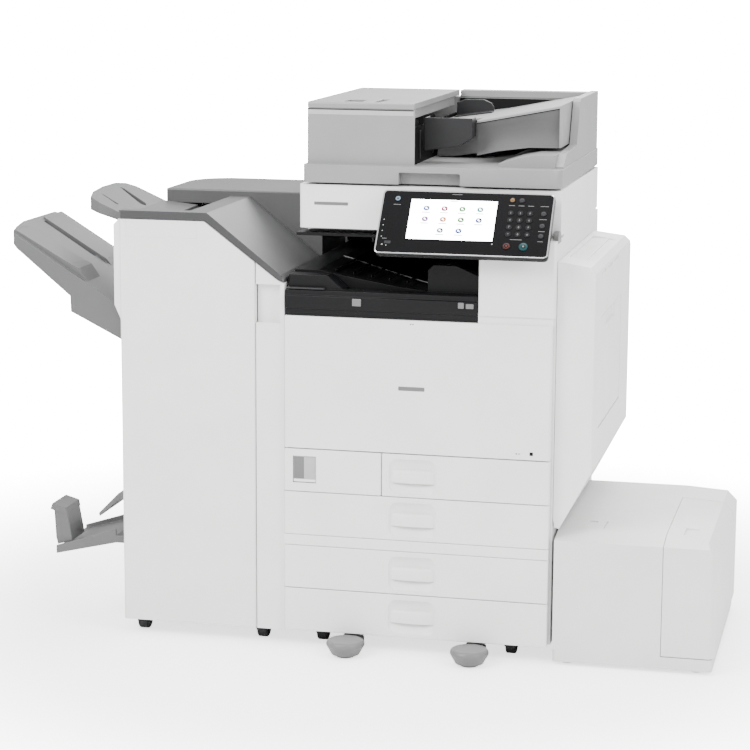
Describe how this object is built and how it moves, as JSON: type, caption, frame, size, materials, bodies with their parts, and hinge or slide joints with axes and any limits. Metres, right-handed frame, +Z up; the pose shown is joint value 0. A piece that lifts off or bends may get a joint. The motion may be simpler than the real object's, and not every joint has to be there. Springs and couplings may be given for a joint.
{
  "type": "photocopier",
  "caption": "Floor-standing colour photocopier with document feeder, tilting touch panel, paper drawers, docked finisher with output trays and a side paper tray.",
  "frame": {"origin": "bottom centre of the whole machine's box, on the floor", "axes": "+X to the right seen from the front, +Y to the back, +Z up"},
  "size_m": [1.605, 0.762, 1.203],
  "materials": {
    "cabinet_white": "fine textured moulded plastic",
    "side_tray_white": "fine textured moulded plastic",
    "feeder_grey": "fine textured moulded plastic",
    "finisher_grey": "fine textured moulded plastic",
    "output_grey": "fine textured moulded plastic",
    "guide_dark": "matt dark plastic",
    "cavity_black": "matt black plastic",
    "panel_black": "gloss black plastic",
    "screen_face": "lit touch screen",
    "key_grey": "satin dark keys",
    "start_teal": "satin teal key",
    "stop_dark": "satin red rimmed key",
    "glass_clear": "clear float glass",
    "pad_white": "white backing sheet on foam",
    "roller_rubber": "matt rubber",
    "caster_black": "black nylon",
    "wheel_black": "black rubber tread",
    "foot_grey": "grey moulded plastic",
    "steel_sheet": "galvanised sheet",
    "inner_grey": "grey moulded plastic",
    "toner_dark": "dark plastic bottles",
    "drum_dark": "dark plastic cases",
    "belt_black": "satin black belt",
    "fuser_grey": "heat resistant plastic",
    "switch_smoke": "smoked clear plastic"
  },
  "bodies": {
    "machine": {"paper_bank_frame": "cabinet_white", "main_frame": "cabinet_white", "inner_plate": "inner_grey", "toner_bottles": "toner_dark", "drum_units": "drum_dark", "transfer_belt_unit": "belt_black", "fusing_unit": "fuser_grey", "rear_cover": "cabinet_white", "exit_tray_unit": "cavity_black", "stabiliser_feet": "foot_grey", "scanner_housing": "cabinet_white", "platen_glass": "glass_clear", "finisher_cabinet": "cabinet_white", "finisher_top": "finisher_grey", "proof_tray": "output_grey", "booklet_tray": "output_grey", "stapler_unit": "guide_dark", "finisher_caster_forks": "caster_black"},
    "front_door": {"front_door": "cabinet_white"},
    "right_door": {"right_door": "cabinet_white"},
    "bypass_tray": {"bypass_tray": "cabinet_white"},
    "switch_cover": {"power_switch_cover": "switch_smoke"},
    "scan_carriage": {"scan_carriage": "guide_dark"},
    "panel": {"panel_housing": "panel_black", "touch_screen": "screen_face"},
    "panel_keys": {"panel_keys": "key_grey"},
    "start_key": {"start_key": "start_teal"},
    "stop_key": {"stop_key": "stop_dark"},
    "feeder": {"feeder_base": "feeder_grey", "platen_pad": "pad_white"},
    "feeder_cover": {"feeder_cover": "feeder_grey"},
    "pickup_roller": {"pickup_roller": "roller_rubber"},
    "document_tray": {"document_tray": "feeder_grey"},
    "guide_front": {"guide_front": "guide_dark"},
    "guide_rear": {"guide_rear": "guide_dark"},
    "finisher_door": {"finisher_door": "cabinet_white"},
    "shift_tray": {"shift_tray": "output_grey"},
    "booklet_fence": {"booklet_fence": "output_grey"},
    "finisher_front_wheels": {"finisher_front_wheels": "wheel_black"},
    "finisher_rear_wheels": {"finisher_rear_wheels": "wheel_black"},
    "side_tray": {"lct_body": "side_tray_white"},
    "side_tray_cover": {"lct_right_cover": "side_tray_white"},
    "down_button": {"lct_down_button": "key_grey"},
    "lift_plate": {"lct_lift_plate": "steel_sheet"},
    "tray_1": {"tray_1_front": "cabinet_white", "tray_1_box": "steel_sheet"},
    "tray_2": {"tray_2_front": "cabinet_white", "tray_2_box": "steel_sheet"},
    "tray_3": {"tray_3_front": "cabinet_white", "tray_3_box": "steel_sheet"},
    "tray_4": {"tray_4_front": "cabinet_white", "tray_4_box": "steel_sheet"},
    "fork_front_left": {"caster_fork_front_left": "caster_black"},
    "wheel_front_left": {"caster_wheel_front_left": "wheel_black"},
    "fork_front_right": {"caster_fork_front_right": "caster_black"},
    "wheel_front_right": {"caster_wheel_front_right": "wheel_black"},
    "fork_rear_left": {"caster_fork_rear_left": "caster_black"},
    "wheel_rear_left": {"caster_wheel_rear_left": "wheel_black"},
    "fork_rear_right": {"caster_fork_rear_right": "caster_black"},
    "wheel_rear_right": {"caster_wheel_rear_right": "wheel_black"}
  },
  "joints": [
    {"name": "front_door_hinge", "type": "hinge", "parent": "machine", "child": "front_door", "pos_m": [0.147, -0.299, 0.4536], "axis": [1, 0, 0], "range_deg": [0, 90]},
    {"name": "tray_1_slide", "type": "slide", "parent": "machine", "child": "tray_1", "axis": [0, -1, 0], "range_m": [0, 0.4]},
    {"name": "tray_2_slide", "type": "slide", "parent": "machine", "child": "tray_2", "axis": [0, -1, 0], "range_m": [0, 0.4]},
    {"name": "tray_3_slide", "type": "slide", "parent": "machine", "child": "tray_3", "axis": [0, -1, 0], "range_m": [0, 0.4]},
    {"name": "tray_4_slide", "type": "slide", "parent": "machine", "child": "tray_4", "axis": [0, -1, 0], "range_m": [0, 0.4]},
    {"name": "right_door_hinge", "type": "hinge", "parent": "machine", "child": "right_door", "pos_m": [0.4555, 0.027, 0.309], "axis": [0, 1, 0], "range_deg": [0, 40]},
    {"name": "bypass_tray_hinge", "type": "hinge", "parent": "right_door", "child": "bypass_tray", "pos_m": [0.5215, -0.011, 0.513], "axis": [0, 1, 0], "range_deg": [0, 65]},
    {"name": "switch_cover_hinge", "type": "hinge", "parent": "machine", "child": "switch_cover", "pos_m": [-0.101, -0.298, 0.3772], "axis": [1, 0, 0], "range_deg": [0, 90]},
    {"name": "scan_carriage_slide", "type": "slide", "parent": "machine", "child": "scan_carriage", "axis": [1, 0, 0], "range_m": [0, 0.38]},
    {"name": "panel_tilt", "type": "hinge", "parent": "machine", "child": "panel", "pos_m": [0.251, -0.25443, 0.99091], "axis": [-1, 0, 0], "range_deg": [0, 20]},
    {"name": "panel_keys_press", "type": "slide", "parent": "panel", "child": "panel_keys", "axis": [0, 0.7784, -0.6278], "range_m": [0, 0.001], "stiffness_N_per_m": 600, "springref_m": -0.001},
    {"name": "start_key_press", "type": "slide", "parent": "panel", "child": "start_key", "axis": [0, 0.7784, -0.6278], "range_m": [0, 0.001], "stiffness_N_per_m": 600, "springref_m": -0.001},
    {"name": "stop_key_press", "type": "slide", "parent": "panel", "child": "stop_key", "axis": [0, 0.7784, -0.6278], "range_m": [0, 0.001], "stiffness_N_per_m": 600, "springref_m": -0.001},
    {"name": "feeder_lift", "type": "hinge", "parent": "machine", "child": "feeder", "pos_m": [0.1625, 0.337, 1.03], "axis": [-1, 0, 0], "range_deg": [0, 65]},
    {"name": "feeder_cover_hinge", "type": "hinge", "parent": "feeder", "child": "feeder_cover", "pos_m": [-0.113, 0.031, 1.19], "axis": [0, -1, 0], "range_deg": [0, 75]},
    {"name": "pickup_roller_spin", "type": "hinge", "parent": "feeder", "child": "pickup_roller", "pos_m": [0.0585, 0.034, 1.14], "axis": [0, 1, 0], "continuous": true},
    {"name": "document_tray_lift", "type": "hinge", "parent": "feeder", "child": "document_tray", "pos_m": [0.2755, 0.284, 1.199], "axis": [-1, 0, 0], "range_deg": [0, 35]},
    {"name": "guide_front_slide", "type": "slide", "parent": "document_tray", "child": "guide_front", "axis": [0, 1, 0], "range_m": [0, 0.08]},
    {"name": "guide_rear_slide", "type": "slide", "parent": "document_tray", "child": "guide_rear", "axis": [0, -1, 0], "range_m": [0, 0.08]},
    {"name": "finisher_door_hinge", "type": "hinge", "parent": "machine", "child": "finisher_door", "pos_m": [-0.5215, -0.291, 0.49], "axis": [0, 0, -1], "range_deg": [0, 100]},
    {"name": "shift_tray_slide", "type": "slide", "parent": "machine", "child": "shift_tray", "axis": [0, 0, 1], "range_m": [-0.25, 0]},
    {"name": "booklet_fence_hinge", "type": "hinge", "parent": "machine", "child": "booklet_fence", "pos_m": [-0.6845, -0.223, 0.194], "axis": [0, -1, 0], "range_deg": [0, 55]},
    {"name": "finisher_front_wheels_roll", "type": "hinge", "parent": "machine", "child": "finisher_front_wheels", "pos_m": [-0.351, -0.239, 0.025], "axis": [1, 0, 0], "continuous": true},
    {"name": "finisher_rear_wheels_roll", "type": "hinge", "parent": "machine", "child": "finisher_rear_wheels", "pos_m": [-0.351, 0.279, 0.025], "axis": [1, 0, 0], "continuous": true},
    {"name": "side_tray_slide", "type": "slide", "parent": "machine", "child": "side_tray", "axis": [1, 0, 0], "range_m": [0, 0.15]},
    {"name": "side_tray_cover_hinge", "type": "hinge", "parent": "side_tray", "child": "side_tray_cover", "pos_m": [0.8015, -0.085, 0.0375], "axis": [0, 1, 0], "range_deg": [0, 75]},
    {"name": "down_button_press", "type": "slide", "parent": "side_tray", "child": "down_button", "axis": [0, 1, 0], "range_m": [0, 0.003], "stiffness_N_per_m": 400, "springref_m": -0.0015},
    {"name": "lift_plate_slide", "type": "slide", "parent": "side_tray", "child": "lift_plate", "axis": [0, 0, 1], "range_m": [0, 0.2]},
    {"name": "caster_front_left_swivel", "type": "hinge", "parent": "machine", "child": "fork_front_left", "pos_m": [-0.0745, -0.241, 0.05], "axis": [0, 0, 1], "continuous": true},
    {"name": "caster_front_left_roll", "type": "hinge", "parent": "fork_front_left", "child": "wheel_front_left", "pos_m": [-0.0745, -0.229, 0.025], "axis": [1, 0, 0], "continuous": true},
    {"name": "caster_front_right_swivel", "type": "hinge", "parent": "machine", "child": "fork_front_right", "pos_m": [0.3535, -0.241, 0.05], "axis": [0, 0, 1], "continuous": true},
    {"name": "caster_front_right_roll", "type": "hinge", "parent": "fork_front_right", "child": "wheel_front_right", "pos_m": [0.3535, -0.229, 0.025], "axis": [1, 0, 0], "continuous": true},
    {"name": "caster_rear_left_swivel", "type": "hinge", "parent": "machine", "child": "fork_rear_left", "pos_m": [-0.0745, 0.299, 0.05], "axis": [0, 0, 1], "continuous": true},
    {"name": "caster_rear_left_roll", "type": "hinge", "parent": "fork_rear_left", "child": "wheel_rear_left", "pos_m": [-0.0745, 0.311, 0.025], "axis": [1, 0, 0], "continuous": true},
    {"name": "caster_rear_right_swivel", "type": "hinge", "parent": "machine", "child": "fork_rear_right", "pos_m": [0.3535, 0.299, 0.05], "axis": [0, 0, 1], "continuous": true},
    {"name": "caster_rear_right_roll", "type": "hinge", "parent": "fork_rear_right", "child": "wheel_rear_right", "pos_m": [0.3535, 0.311, 0.025], "axis": [1, 0, 0], "continuous": true}
  ],
  "couplings": [
    {"joint": "guide_rear_slide", "follows": "guide_front_slide", "ratio": 1}
  ]
}
